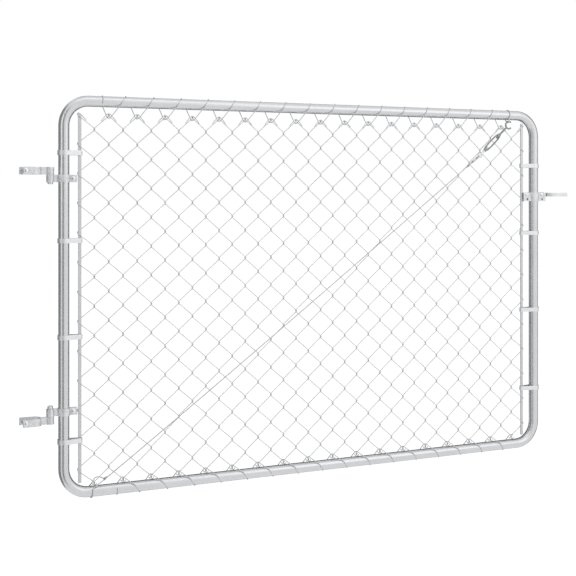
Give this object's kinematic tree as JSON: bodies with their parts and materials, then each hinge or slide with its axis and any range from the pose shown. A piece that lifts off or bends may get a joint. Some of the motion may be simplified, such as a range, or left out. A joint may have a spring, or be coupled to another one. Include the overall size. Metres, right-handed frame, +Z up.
{
  "type": "chain link gate",
  "caption": "Chain link walk gate: a bent round-tube frame with woven wire mesh, pin hinges on post clamps, a fork latch and a diagonal truss cable.",
  "frame": {"origin": "on the hinge post's axis, half way up the lower post clamp", "axes": "+X from the hinge side to the latch side, +Y away from the viewer, +Z up"},
  "size_m": [1.9286, 0.0621, 1.1764],
  "materials": {
    "frame_tube": "dull galvanized tube",
    "mesh_wire": "galvanized wire",
    "tie_wire": "galvanized tie wire",
    "bars_and_bands": "galvanized strip",
    "fasteners": "bright galvanized",
    "cable": "twisted galvanized strands",
    "hinge_and_latch_strap": "dip galvanized strap"
  },
  "bodies": {
    "post_hinges": {"lower_post_strap": "hinge_and_latch_strap", "upper_post_strap": "hinge_and_latch_strap", "lower_hinge_pin": "fasteners", "upper_hinge_pin": "fasteners", "lower_post_bolt": "fasteners", "upper_post_bolt": "fasteners"},
    "gate_leaf": {"frame_tube": "frame_tube", "mesh_panel_1": "mesh_wire", "mesh_panel_2": "mesh_wire", "mesh_panel_3": "mesh_wire", "mesh_panel_4": "mesh_wire", "hinge_side_tension_bar": "bars_and_bands", "latch_side_tension_bar": "bars_and_bands", "hinge_side_band_1": "bars_and_bands", "hinge_side_band_2": "bars_and_bands", "hinge_side_band_3": "bars_and_bands", "hinge_side_band_4": "bars_and_bands", "latch_side_band_1": "bars_and_bands", "latch_side_band_2": "bars_and_bands", "latch_side_band_3": "bars_and_bands", "latch_side_band_4": "bars_and_bands", "lower_gate_strap": "hinge_and_latch_strap", "upper_gate_strap": "hinge_and_latch_strap", "lower_gate_bolt": "fasteners", "upper_gate_bolt": "fasteners", "top_tie_wire": "tie_wire", "bottom_tie_wire": "tie_wire", "truss_cable": "cable", "cable_clips": "fasteners", "cable_top_ring": "cable", "turnbuckle_body": "fasteners", "turnbuckle_eye_bolt": "fasteners", "turnbuckle_hook_bolt": "fasteners", "latch_collar_front": "hinge_and_latch_strap", "latch_collar_back": "hinge_and_latch_strap", "latch_collar_bolt": "fasteners", "latch_pivot_bolt": "fasteners"},
    "latch_fork": {"latch_fork": "hinge_and_latch_strap"}
  },
  "joints": [
    {"name": "gate_swing", "type": "hinge", "parent": "post_hinges", "child": "gate_leaf", "pos_m": [0.0497, 0, 0.35837], "axis": [0, 0, 1], "range_deg": [-100, 100]},
    {"name": "latch_lift", "type": "hinge", "parent": "gate_leaf", "child": "latch_fork", "pos_m": [1.79805, 0, 0.646], "axis": [0, -1, 0], "range_deg": [0, 100]}
  ]
}
